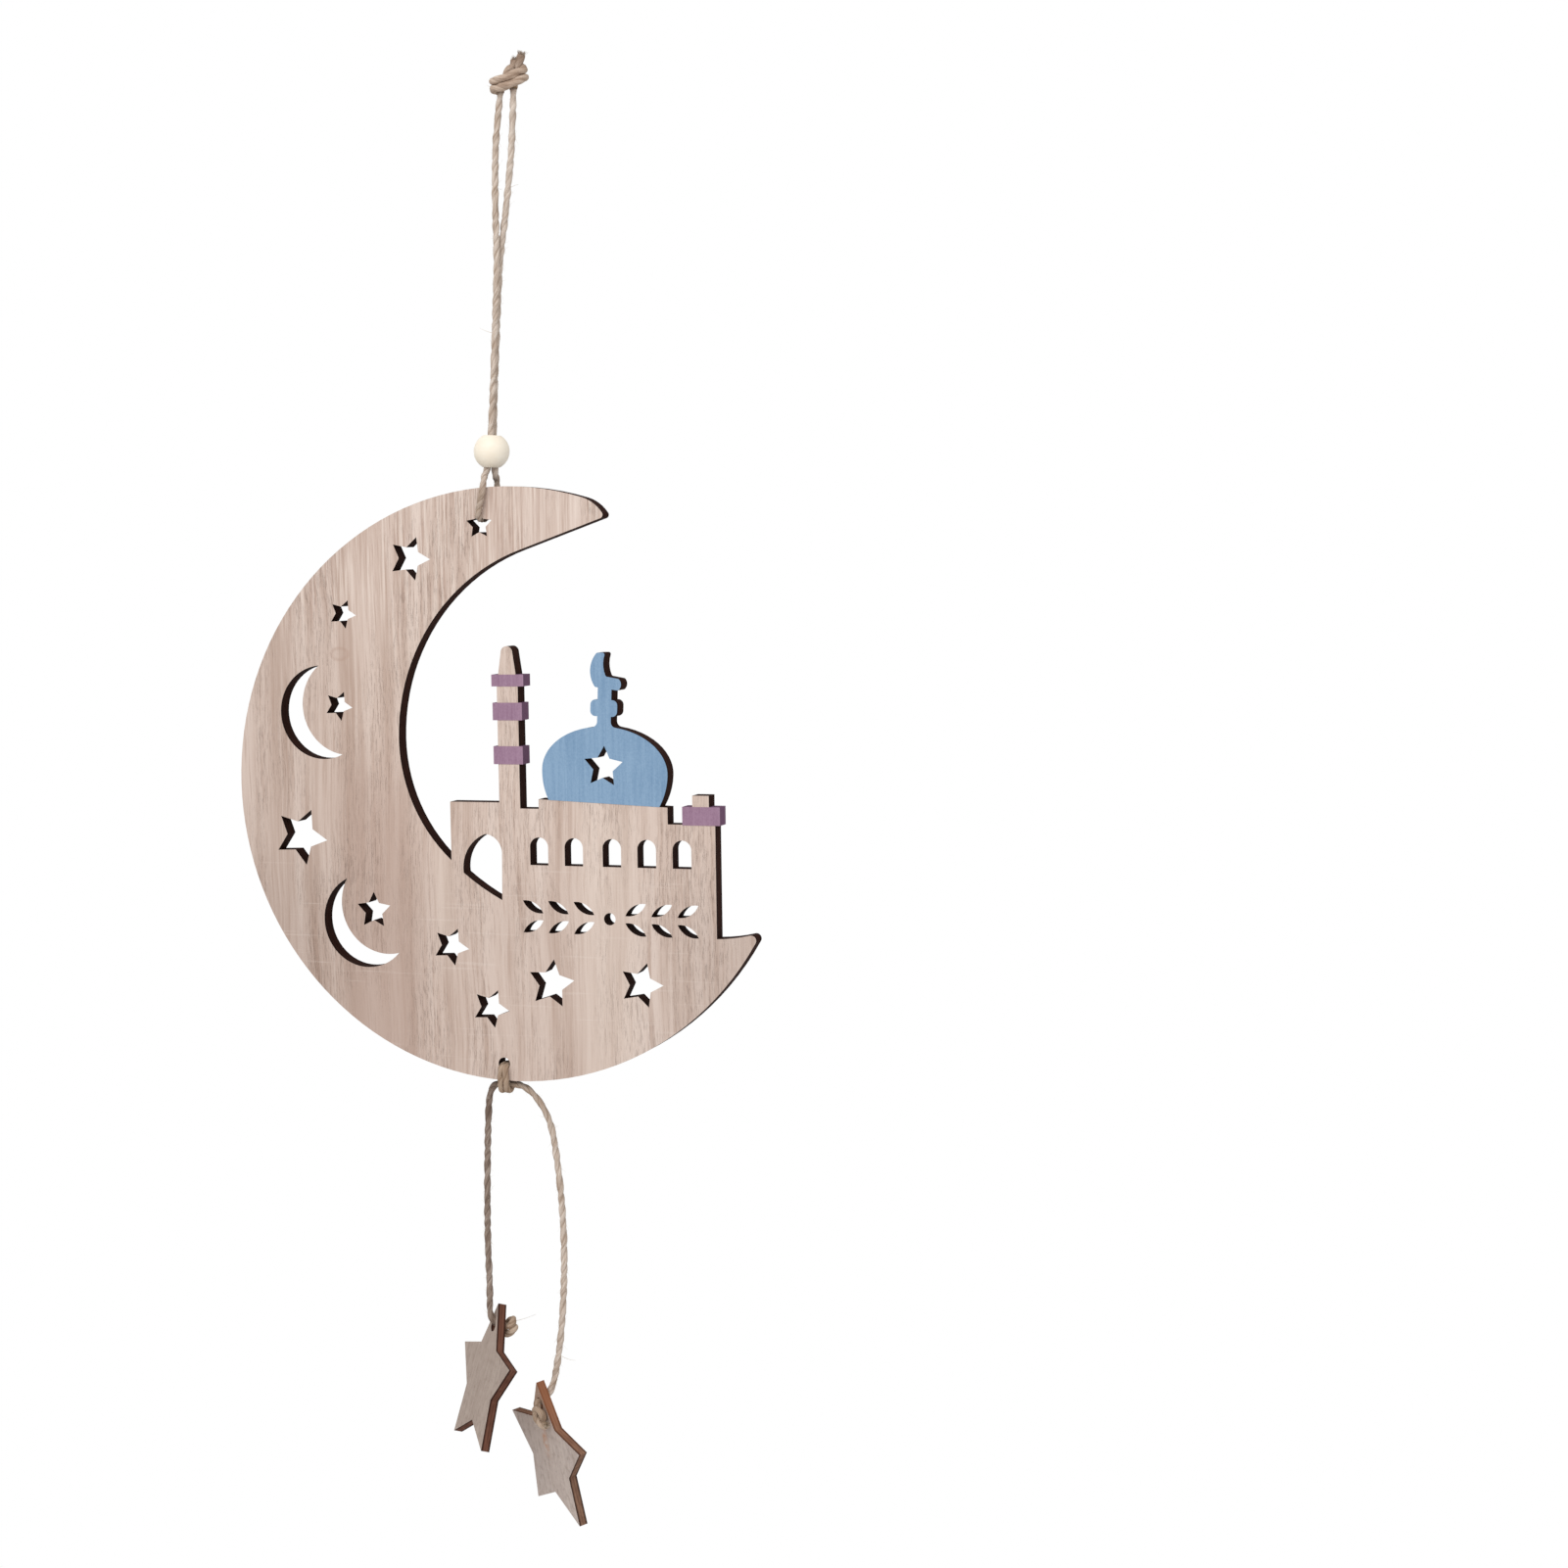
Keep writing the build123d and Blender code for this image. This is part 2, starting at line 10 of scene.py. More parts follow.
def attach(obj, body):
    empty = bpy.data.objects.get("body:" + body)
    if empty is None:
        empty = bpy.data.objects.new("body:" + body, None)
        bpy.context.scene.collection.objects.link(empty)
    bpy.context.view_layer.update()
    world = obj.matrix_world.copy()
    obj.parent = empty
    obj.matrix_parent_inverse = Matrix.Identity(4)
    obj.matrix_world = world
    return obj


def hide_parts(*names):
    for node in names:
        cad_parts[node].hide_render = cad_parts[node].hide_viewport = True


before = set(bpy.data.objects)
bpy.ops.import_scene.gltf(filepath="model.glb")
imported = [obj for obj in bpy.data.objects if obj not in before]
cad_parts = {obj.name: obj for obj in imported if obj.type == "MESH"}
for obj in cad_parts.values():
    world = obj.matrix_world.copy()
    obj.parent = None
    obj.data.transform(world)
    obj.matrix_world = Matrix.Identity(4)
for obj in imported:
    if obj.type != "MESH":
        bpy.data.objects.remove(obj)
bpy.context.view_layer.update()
bpy.ops.object.select_all(action="DESELECT")

# Sizes in millimetres and degrees, as the part has them; the scene is in metres
MM = 0.001
hang_lean = radians(4.2)
board_thickness = 5.0
moon_radius = 83.4
hanging_star_u = -6.26
hanging_star_inset = 10.2
pendant_hole_u = -2.3
pendant_hole_inset = 4.8
pendant_hole_diameter = 3.5
cord_diameter = 2.0
cord_gap = 0.25
bead_u = -3.0
bead_rise = 10.0
bead_entry_drop = 5.3
leg_rise = 1.9
fork_u = 0.3
fork_rise = 62.3
eye_u = 3.4
eye_rise = 105.3
hitch_thickness = 1.8
hitch_collar_radius = 1.3
hitch_collar_length = 4.6
left_exit_u = -8.0
right_exit_u = 2.6
charm_thickness = 2.5
charm_hole_diameter = 3.5
charm_hole_height = 15.6
charm_entry = 1.3
stopper_gap = 0.3

# Each charm: right, drop below the collar and depth of its centre; its turn and lean; its roll on the twine
left_charm_place = (-11.2, 85.4, -3.75)
left_charm_turn = (-50.4, -16.3)
left_charm_roll = -4.6
right_charm_place = (7.5, 106.7, 0.34)
right_charm_turn = (-41.4, 10.0)
right_charm_roll = 1.7

# Painted bands: middle, height of the lower edge, width and height of each
painted_bands = [
    (1.2, 28.0, 9.6, 3.3), (1.0, 18.55, 8.8, 4.9), (1.0, 6.25, 8.8, 5.05), (57.3, -9.9, 10.75, 5.05),
]

# Values worked out from the sizes
cord_radius = cord_diameter / 2
leg_depth = board_thickness / 2 + cord_gap + cord_radius
rim_top = sqrt(moon_radius**2 - hanging_star_u**2)
rim_foot = -sqrt(moon_radius**2 - pendant_hole_u**2)
eye_v = rim_top + eye_rise
collar_v = rim_foot - cord_gap - hitch_collar_radius
collar_half = hitch_collar_length / 2 + stopper_gap
seat_in_charm = charm_hole_diameter / 2 - cord_radius - stopper_gap

board_right = Vector((cos(hang_lean), 0, sin(hang_lean)))
board_up = Vector((-sin(hang_lean), 0, cos(hang_lean)))
board_back = Vector((0, 1, 0))


def turned(vector):
    """A direction or point given along the board, in the ornament's own frame."""
    return board_right * vector.x + board_back * vector.y + board_up * vector.z


def place(u, v, depth=0.0):
    """Point of the ornament for a place on the board and a depth behind its middle."""
    return (board_right * (u - eye_u) + board_up * (v - eye_v) + board_back * depth) * MM


def charm_faces(u, drop, depth, turn, lean):
    """Across, up and into a charm's front face, and its centre."""
    turn = radians(turn)
    lean = radians(lean)
    facing = board_right * (sin(turn) * cos(lean)) - board_up * sin(lean)
    facing -= board_back * (cos(turn) * cos(lean))
    across = board_right * cos(turn) + board_back * sin(turn)
    return across, facing.cross(across), -facing, place(u, collar_v - drop, depth)


left_charm = charm_faces(*left_charm_place, *left_charm_turn)
right_charm = charm_faces(*right_charm_place, *right_charm_turn)


def tint(red, green, blue):
    """Colour written as it looks on a screen, 0 to 255."""
    shown = [channel / 255 for channel in (red, green, blue)]
    return (*[c / 12.92 if c < 0.04045 else ((c + 0.055) / 1.055) ** 2.4 for c in shown], 1)


class Value:
    """A number that changes over a surface."""

    def __init__(self, finish, socket):
        self.finish = finish
        self.socket = socket

    def math(self, operation, first, second=0.0):
        return self.finish.node("ShaderNodeMath", {"operation": operation}, {0: first, 1: second})

    def __add__(self, other):
        return self.math("ADD", self, other)

    def __radd__(self, other):
        return self.math("ADD", other, self)

    def __sub__(self, other):
        return self.math("SUBTRACT", self, other)

    def __rsub__(self, other):
        return self.math("SUBTRACT", other, self)

    def __mul__(self, other):
        return self.math("MULTIPLY", self, other)

    def __rmul__(self, other):
        return self.math("MULTIPLY", other, self)

    def __truediv__(self, other):
        return self.math("DIVIDE", self, other)

    def __pow__(self, other):
        return self.math("POWER", self, other)

    def __lt__(self, other):
        return self.math("LESS_THAN", self, other)

    def __abs__(self):
        return self.math("ABSOLUTE", self)


class Finish:
    """The nodes of one finish."""

    def __init__(self, tree):
        self.tree = tree
        self.tree.nodes.clear()

    def node(self, kind, settings=None, sockets=None, out=0):
        """Adds a node: its settings first, then the values or links of its sockets."""
        made = self.tree.nodes.new(kind)
        for key, value in (settings or {}).items():
            if key == "stops":
                stops = made.color_ramp.elements
                for index, (position, colour) in enumerate(value):
                    stop = stops[index] if index < 2 else stops.new(position)
                    stop.position = position
                    stop.color = colour
            else:
                setattr(made, key, value)
        for key, value in (sockets or {}).items():
            if isinstance(value, Value):
                self.tree.links.new(value.socket, made.inputs[key])
            else:
                made.inputs[key].default_value = value
        return Value(self, made.outputs[out] if made.outputs else None)

    def split(self, vector):
        first = self.node("ShaderNodeSeparateXYZ", {}, {0: vector})
        return [Value(self, output) for output in first.socket.node.outputs]

    def join(self, x, y, z):
        return self.node("ShaderNodeCombineXYZ", {}, {0: x, 1: y, 2: z})

    def coordinates(self):
        """Place on the piece in metres, along the ornament's own axes."""
        return self.split(self.node("ShaderNodeTexCoord", out="Object"))

    def noise(self, x, y, z, detail=2.0, roughness=0.5):
        sockets = {"Vector": self.join(x, y, z), "Scale": 1.0, "Detail": detail, "Roughness": roughness}
        return self.node("ShaderNodeTexNoise", {}, sockets)

    def ease(self, value, start, end):
        """0 at start and 1 at end, smoothly."""
        sockets = {"Value": value, "From Min": start, "From Max": end}
        return self.node("ShaderNodeMapRange", {"interpolation_type": "SMOOTHSTEP"}, sockets)

    def mix(self, share, under, over):
        return self.node("ShaderNodeMix", {"data_type": "RGBA"}, {0: share, 6: under, 7: over}, 2)

    def ramp(self, value, *stops):
        return self.node("ShaderNodeValToRGB", {"stops": stops}, {0: value})

    def surface(self, colour, roughness, height, relief, shine=0.15, **constant):
        """Ends the finish: colour and roughness over the surface, and a height in units of relief metres."""
        bump = self.node("ShaderNodeBump", {}, {"Strength": 1.0, "Distance": relief, "Height": height})
        sockets = {"Base Color": colour, "Roughness": roughness, "Normal": bump, "Specular IOR Level": shine}
        shader = self.node("ShaderNodeBsdfPrincipled", {}, {**sockets, **constant})
        self.node("ShaderNodeOutputMaterial", {}, {"Surface": shader})


def new_finish(name):
    material = bpy.data.materials.new(name)
    material.use_nodes = True
    return material, Finish(material.node_tree)


def laid_on(finish, across, up, inward, origin):
    """Millimetres across, into and up a flat sheet, and how squarely a face looks out of it."""
    turn = Matrix((across, inward, up))
    shift = -(turn @ origin) / MM
    coordinates = finish.node("ShaderNodeTexCoord", out="Object")
    sockets = {"Vector": coordinates, "Location": shift, "Rotation": turn.to_euler(), "Scale": (1 / MM,) * 3}
    sheet = finish.node("ShaderNodeMapping", {"vector_type": "POINT"}, sockets)
    facing = finish.node("ShaderNodeTexCoord", out="Normal")
    product = {"operation": "DOT_PRODUCT"}
    outward = finish.node("ShaderNodeVectorMath", product, {0: facing, 1: inward}, "Value")
    return finish.split(sheet), abs(outward)


def veneer(finish, across, depth, up, light, middle, dark, pores):
    """Colour of sanded veneer with its grain upright, the height of the grain, and its lines."""
    sway = finish.noise(across * 0.02, depth * 0.02, up * 0.016) * 7.0
    drift = across + sway
    streak = finish.noise(drift * 0.12, depth * 0.05, up * 0.006, 3.0, 0.55)
    line = finish.noise(drift * 0.75, depth * 0.2, up * 0.014, 4.0, 0.6)
    tone = streak * 0.68 + line * 0.32
    colour = finish.ramp(tone, (0.34, dark), (0.66, light), (0.5, middle))
    thread = finish.noise(drift * 1.9, depth * 0.5, up * 0.05, 4.0, 0.65)
    colour = finish.mix(finish.ease(thread, 0.5, 0.68) * 0.6, colour, dark)
    colour = finish.mix(finish.ease(thread, 0.47, 0.33) * 0.45, colour, light)
    band = finish.noise(drift * 0.33, depth * 0.1, up * 0.012 + 7.0, 2.0, 0.6)
    colour = finish.mix(finish.ease(band, 0.54, 0.72) * 0.5, colour, dark)
    fleck = finish.noise(drift * 5.2, depth, up * 0.26, 2.0, 0.6)
    where = finish.noise(drift * 0.10, depth * 0.1, up * 0.02)
    pore = finish.ease(fleck, 0.52, 0.74) * finish.ease(where, 0.3, 0.64)
    colour = finish.mix(pore * 0.4, colour, pores)
    return colour, line * 0.7 - pore * 0.8, line


def scorched(finish, around, depth, thickness, burnt, glue):
    """Colour of a laser-cut edge, with the plies just showing."""
    soot = finish.noise(around * 0.35, depth * 0.9, around * 0.21, 3.0, 0.6)
    ply = finish.ease(abs(abs(depth) - thickness / 6), 0.35, 0.1)
    colour = finish.mix(finish.ease(soot, 0.35, 0.75) * 0.5 + ply * 0.25, burnt, glue)
    rim = finish.ease(abs(depth), thickness * 0.2, thickness * 0.46)
    return finish.mix(rim * 0.8, colour, tint(29, 14, 10))


def plywood(finish, facing, face, edge, line, height, relief, shine):
    """Ends a sheet's finish: its sanded face with the grain in relief, and its burnt edge."""
    cut = finish.ease(facing, 0.7, 0.3)
    finish.surface(finish.mix(cut, face, edge), 0.72 + line * 0.16, height * (1 - cut), relief, shine)


def board_finish():
    """Plywood of the crescent board, with the broad tones of its veneer, painted shade towards the bottom
    and purple on the bands' edges.
    """
    material, finish = new_finish("sanded plywood with burnt edges")
    (across, out, up), facing = laid_on(finish, board_right, board_up, board_back, place(0, 0))
    light, middle = tint(217, 199, 188), tint(207, 187, 175)
    dark, pores = tint(181, 157, 143), tint(150, 123, 109)
    darkening_brown = tint(70, 46, 38)
    colour, height, line = veneer(finish, across, out, up, light, middle, dark, pores)
    column = finish.ease(abs(across + 39.0), 19.0, 5.0) * finish.ease(up, 25.0, -15.0)
    colour = finish.mix(column * 0.55, colour, tint(176, 150, 137))
    pale = finish.ease(abs(across + 19.5), 4.5, 1.0) * finish.ease(up, 10.0, -25.0)
    colour = finish.mix(pale * finish.ease(up, -60.0, -42.0) * 0.4, colour, tint(216, 199, 187))
    # Painted shade: the face darkens towards the bottom, more so at the lower right, as under light from
    # above.
    painted_shade_low = finish.ease(up, -8.0, -45.0) * (0.06 + 0.09 * finish.ease(across, 40.0, 62.0))
    colour = finish.mix(painted_shade_low, colour, darkening_brown)
    # Darker towards the left, more so low down.
    darker_left = finish.ease(across, -34.0, -68.0) * (0.09 + 0.07 * finish.ease(up, 0.0, -40.0))
    colour = finish.mix(darker_left, colour, darkening_brown)
    fresh_strip = finish.ease(abs(across - 30.0), 13.0, 4.0) * finish.ease(up, 2.0, -12.0)
    colour = finish.mix(fresh_strip * 0.32, colour, tint(226, 210, 198))
    scratch = finish.noise(across * 0.035, 0.0, up * 0.9, 1.0) * finish.ease(up, -12.0, -24.0)
    colour = finish.mix(finish.ease(scratch, 0.62, 0.74) * 0.2, colour, tint(224, 211, 201))
    stroke = finish.noise(across * 1.5, out * 0.2, up * 0.04 + 3.0, 3.0, 0.6)
    upper = finish.ease(up, 30.0, 60.0)
    colour = finish.mix(finish.ease(stroke, 0.53, 0.68) * upper * 0.55, colour, tint(172, 145, 131))
    colour = finish.mix(finish.ease(stroke, 0.49, 0.36) * upper * 0.6, colour, tint(226, 210, 199))
    swirl = ((across + 50.5) / 2.6) ** 2.0 + ((up - 37.3) / 1.7) ** 2.0
    colour = finish.mix(finish.ease(abs(swirl - 1.0), 0.9, 0.1) * 0.3, colour, tint(170, 140, 124))
    edge = scorched(finish, across + up, out, board_thickness, tint(36, 17, 12), tint(60, 34, 26))
    overlap = 0.06
    purple_edge = 0.0
    for band_u, foot_v, width, tall in painted_bands:
        beside = abs(across - band_u) < width / 2 + overlap
        level = abs(up - (foot_v + tall / 2)) < tall / 2 + overlap
        purple_edge = beside * level + purple_edge
    edge = finish.mix(purple_edge * 0.9, edge, tint(118, 88, 112))
    plywood(finish, facing, colour, edge, line, height, relief=0.00012, shine=0.03)
    return material


def paint_finish(name, pale, deep):
    """Thin paint that lets the grain of the wood show."""
    material, finish = new_finish(name)
    across, out, up = laid_on(finish, board_right, board_up, board_back, place(0, 0))[0]
    grain = finish.noise(across * 1.3, out, up * 0.06, 4.0, 0.6)
    weave = finish.noise(across * 2.6, out, up * 1.9, 2.0, 0.6)
    cloud = finish.noise(across * 0.08, out, up * 0.06)
    tone = grain * 0.45 + weave * 0.3 + cloud * 0.25
    colour = finish.ramp(tone, (0.38, deep), (0.6, pale))
    finish.surface(colour, 0.55 + grain * 0.2, grain * 0.6 + weave * 0.4, relief=0.0001)
    return material


def charm_finish(name, charm, light, middle, dark, burnt, glue, stained=False):
    """Mottled plywood of a star charm; if it is stained, browned round its knot and over its top arm, with
    its burnt edge paler towards the top.
    """
    material, finish = new_finish(name)
    (across, out, up), facing = laid_on(finish, *charm)
    colour, height, line = veneer(finish, across, out, up, light, middle, dark, tint(140, 122, 110))
    mottle = finish.noise(across * 0.5, out * 0.1, up * 0.42, 4.0, 0.65)
    colour = finish.mix(finish.ease(mottle, 0.5, 0.66) * 0.4, colour, tint(146, 128, 117))
    colour = finish.mix(finish.ease(mottle, 0.46, 0.34) * 0.5, colour, light)
    edge = scorched(finish, across + up, out - charm_thickness / 2, charm_thickness, burnt, glue)
    if stained:
        stain = finish.ease(abs(across + 0.6), 2.6, 0.4) * finish.ease(abs(up - 4.5), 7.0, 1.5)
        colour = finish.mix(stain * finish.ease(mottle, 0.4, 0.56) * 0.6, colour, tint(186, 132, 96))
        colour = finish.mix(finish.ease(up, 9.0, 17.0) * 0.5, colour, tint(184, 140, 108))
        # The burnt edge turns paler and more orange towards the top.
        edge = finish.mix(finish.ease(up, 2.0, 18.0) * 0.55, edge, tint(158, 100, 68))
    plywood(finish, facing, colour, edge, line, height, relief=0.0001, shine=0.05)
    return material


def bead_finish():
    """Smooth pale wood with a slight gloss."""
    material, finish = new_finish("smooth pale bead wood")
    across, out, up = finish.coordinates()
    ring = finish.noise(across * 260.0, out * 260.0, up * 900.0, 3.0, 0.55)
    cloud = finish.noise(across * 120.0, out * 120.0, up * 120.0)
    colour = finish.ramp(ring * 0.4 + cloud * 0.6, (0.32, tint(240, 227, 207)), (0.66, tint(248, 240, 225)))
    gloss = {"Coat Weight": 0.15, "Coat Roughness": 0.4}
    finish.surface(colour, 0.42 + ring * 0.16, ring, relief=0.00004, **gloss)
    return material


def jute_finish(name, deep, middle, warm, pale, start_shade_share=0.42, loop_share=0.0):
    """Twisted jute: its map runs round the twine first, then along it in millimetres from its start."""
    material, finish = new_finish(name)
    turn, run = finish.split(finish.node("ShaderNodeUVMap", {"uv_map": "twine"}))[:2]
    height = finish.coordinates()[2]
    valley = abs(abs(turn - 0.5) - 0.25)
    fibre = finish.noise(turn * 26.0 + run * 1.1, run * 0.28, 0.0, 3.0, 0.6)
    strand = finish.noise(turn * 9.0 + run * 0.5, run * 0.16, 4.0)
    blotch = finish.noise(turn * 1.5, run * 0.13, 9.0)
    tone = fibre * 0.45 + strand * 0.25 + blotch * 0.3
    colour = finish.ramp(tone, (0.36, deep), (0.64, pale), (0.46, middle), (0.54, warm))
    # Painted shade: the valleys between the two plies are darkened.
    crease_shade = finish.ease(valley, 0.09, 0.0)
    # Painted shade: each twine darkens over the first 26 mm from its start, by its own share.
    start = finish.ease(run, 26.0, 3.0)
    colour = finish.mix(crease_shade * 0.5 + start * start_shade_share, colour, deep)
    colour = finish.mix(finish.ease(run, 68.0, 84.0) * loop_share, colour, pale)
    knot_end = finish.ease(height, 8.2 * MM, 9.8 * MM)
    colour = finish.mix(knot_end * 0.6, colour, tint(128, 104, 88))
    finish.surface(colour, 0.86 + fibre * 0.1, fibre * 0.6 + strand * 0.4, relief=0.00025)
    return material


def cut_end_finish():
    """Cut end of the twine."""
    material, finish = new_finish("cut end of jute")
    across, out, up = finish.coordinates()
    tone = finish.noise(across * 2600.0, out * 2600.0, up * 2600.0)
    colour = finish.ramp(tone, (0.35, tint(112, 84, 62)), (0.65, tint(176, 148, 120)))
    finish.surface(colour, 0.88 + tone * 0.08, tone, relief=0.0003)
    return material


def fibre_finish():
    """Pale loose fibres, browner at the two ends over the top knot."""
    material, finish = new_finish("loose jute fibre")
    across, out, up = finish.coordinates()
    tone = finish.noise(across * 300.0, out * 300.0, up * 300.0)
    colour = finish.ramp(tone, (0.35, tint(205, 186, 164)), (0.65, tint(236, 224, 208)))
    knot_end = finish.ease(up, 9.0 * MM, 10.5 * MM)
    colour = finish.mix(knot_end * 0.75, colour, tint(146, 122, 104))
    finish.surface(colour, 0.8 + tone * 0.1, tone, relief=0.00002)
    return material


def floor_finish():
    """Even pale floor."""
    material, finish = new_finish("pale floor")
    across, out, up = finish.coordinates()
    tone = finish.noise(across * 40.0, out * 40.0, up)
    colour = finish.ramp(tone, (0.3, (0.86, 0.86, 0.86, 1)), (0.7, (0.9, 0.9, 0.9, 1)))
    finish.surface(colour, 0.8 + tone * 0.1, tone, relief=0.00001)
    return material


board_wood = board_finish()
blue_paint = paint_finish("thin blue paint", tint(136, 164, 191), tint(115, 145, 175))
purple_paint = paint_finish("thin purple paint", tint(158, 127, 148), tint(139, 107, 129))
left_wood = charm_finish(
    "left charm plywood", left_charm, tint(181, 166, 155), tint(172, 156, 146), tint(158, 142, 131),
    tint(86, 55, 44), tint(124, 85, 69),
)
right_wood = charm_finish(
    "right charm plywood", right_charm, tint(200, 186, 177), tint(191, 176, 168), tint(178, 163, 153),
    tint(106, 78, 64), tint(152, 118, 97), stained=True,
)
bead_wood = bead_finish()

plain_jute_tints = tint(148, 125, 107), tint(186, 167, 151), tint(208, 193, 180), tint(228, 216, 205)
# Painted shade: a darker, greyer copy of the jute tints, used for the left tail.
shaded_tints = tint(92, 74, 64), tint(128, 110, 98), tint(152, 135, 123), tint(181, 166, 155)
brown_tints = tint(134, 108, 88), tint(172, 148, 127), tint(196, 175, 155), tint(216, 199, 182)
knot_tints = tint(138, 113, 95), tint(177, 154, 136), tint(200, 180, 163), tint(220, 204, 189)
jute = jute_finish("twisted jute", *plain_jute_tints)
loop_jute = jute_finish("twisted jute, paler along the loop", *plain_jute_tints, loop_share=0.2)
shaded_jute = jute_finish("twisted jute with painted shade", *shaded_tints)
brown_jute = jute_finish("browner twisted jute", *brown_tints)
knot_jute = jute_finish("top knot jute", *knot_tints, start_shade_share=0.1)
cut_jute = cut_end_finish()
loose_fibre = fibre_finish()


def route_line(points):
    """Points along the smooth line of a cord, from the points of its route."""
    curve = bpy.data.curves.new("route", "CURVE")
    curve.dimensions = "3D"
    curve.resolution_u = 40
    spline = curve.splines.new("NURBS")
    spline.points.add(len(points) - 1)
    for control, point in zip(spline.points, points):
        control.co = (*point, 1)
    spline.order_u = 3
    spline.use_endpoint_u = True
    holder = bpy.data.objects.new("route", curve)
    bpy.context.collection.objects.link(holder)
    read = bpy.data.meshes.new_from_object(holder)
    least_step = 0.22 * MM
    line = [read.vertices[0].co.copy()]
    for vertex in read.vertices[1:-1]:
        if (vertex.co - line[-1]).length > least_step:
            line.append(vertex.co.copy())
    line.append(read.vertices[-1].co.copy())
    bpy.data.objects.remove(holder)
    bpy.data.curves.remove(curve)
    bpy.data.meshes.remove(read)
    return line


def bearings(line):
    """Direction ahead, to the side and across at each point of a line, turning as little as it can."""
    found = []
    side = None
    for index in range(len(line)):
        ahead = (line[min(index + 1, len(line) - 1)] - line[max(index - 1, 0)]).normalized()
        side = ahead.orthogonal() if side is None else side - ahead * side.dot(ahead)
        side.normalize()
        found.append((ahead, side, ahead.cross(side)))
    return found


def new_piece(name, points, faces, material):
    mesh = bpy.data.meshes.new(name)
    mesh.from_pydata(points, [], faces)
    mesh.update()
    mesh.materials.append(material)
    mesh.polygons.foreach_set("use_smooth", [True] * len(mesh.polygons))
    piece = bpy.data.objects.new(name, mesh)
    bpy.context.collection.objects.link(piece)
    return piece


# Section of the twine: points round it, and its two plies as shares of its thickness
AROUND = 20
PLY_OFFSET = 0.1
PLY_RADIUS = 0.395


def twine(name, lines, colour, thickness=cord_diameter, lay=8.0, tight=0.0):
    """Two-ply twine along one or more lines, uneven in its twist, with tight more turns where it starts."""
    points = []
    faces = []
    marks = []
    settle = 9.0
    for number, line in enumerate(lines):
        first = len(points)
        run = 0.0
        for index, (_, side, over) in enumerate(bearings(line)):
            before = run
            if index:
                run += (line[index] - line[index - 1]).length / MM
            twist = 2 * pi * (run / lay + tight * (1 - exp(-run / settle))) + number
            twist += 0.5 * sin(run * 0.31 + number) + 0.25 * sin(run * 0.87)
            swell = 1 + 0.05 * sin(run * 0.83 + number) + 0.03 * sin(run * 2.1)
            for step in range(AROUND):
                angle = 2 * pi * step / AROUND
                reach = PLY_OFFSET * abs(cos(angle)) + sqrt(PLY_RADIUS**2 - (PLY_OFFSET * sin(angle)) ** 2)
                reach *= thickness * MM * swell
                beside = side * (reach * cos(angle + twist))
                points.append(line[index] + beside + over * (reach * sin(angle + twist)))
            if index:
                low = first + (index - 1) * AROUND
                for step in range(AROUND):
                    after = (step + 1) % AROUND
                    faces.append((low + step, low + after, low + AROUND + after, low + AROUND + step))
                    left = step / AROUND
                    right = (step + 1) / AROUND
                    marks += [(left, before), (right, before), (right, run), (left, run)]
        last = len(points) - AROUND
        faces.append(tuple(range(first + AROUND - 1, first - 1, -1)))
        faces.append(tuple(range(last, last + AROUND)))
        marks += [((AROUND - 1 - step) / AROUND, 0.0) for step in range(AROUND)]
        marks += [(step / AROUND, run) for step in range(AROUND)]
    piece = new_piece(name, points, faces, colour)
    piece.data.materials.append(cut_jute)
    for polygon in piece.data.polygons:
        polygon.material_index = int(len(polygon.vertices) == AROUND)
    layer = piece.data.uv_layers.new(name="twine")
    for index, mark in enumerate(marks):
        layer.data[index].uv = mark
    return piece


# Fibres: rings, points round a ring, thicknesses, number at a cut end, and roots as shares of the twine
RINGS = 4
SIDES = 3
FUZZ_THICKNESS = 0.06
FRAY_THICKNESS = 0.16
STRAY_THICKNESS = 0.17
FRAYED_FIBRES = 90
FUZZ_ROOT = 0.4
FRAY_ROOT = 0.42


def add_fibre(points, faces, start, heading, bow, length, thickness):
    """One fibre that tapers and bends towards bow."""
    first = len(points)
    across = heading.orthogonal().normalized()
    over = heading.cross(across).normalized()
    for ring in range(RINGS):
        share = ring / (RINGS - 1)
        spot = start + heading * (length * share) + bow * (length * 0.3 * share**2)
        width = thickness * MM * (1 - 0.7 * share) / 2
        for step in range(SIDES):
            turn = 2 * pi * step / SIDES
            points.append(spot + across * (width * cos(turn)) + over * (width * sin(turn)))
        if ring:
            low = first + (ring - 1) * SIDES
            for step in range(SIDES):
                after = (step + 1) % SIDES
                faces.append((low + step, low + after, low + SIDES + after, low + SIDES + step))


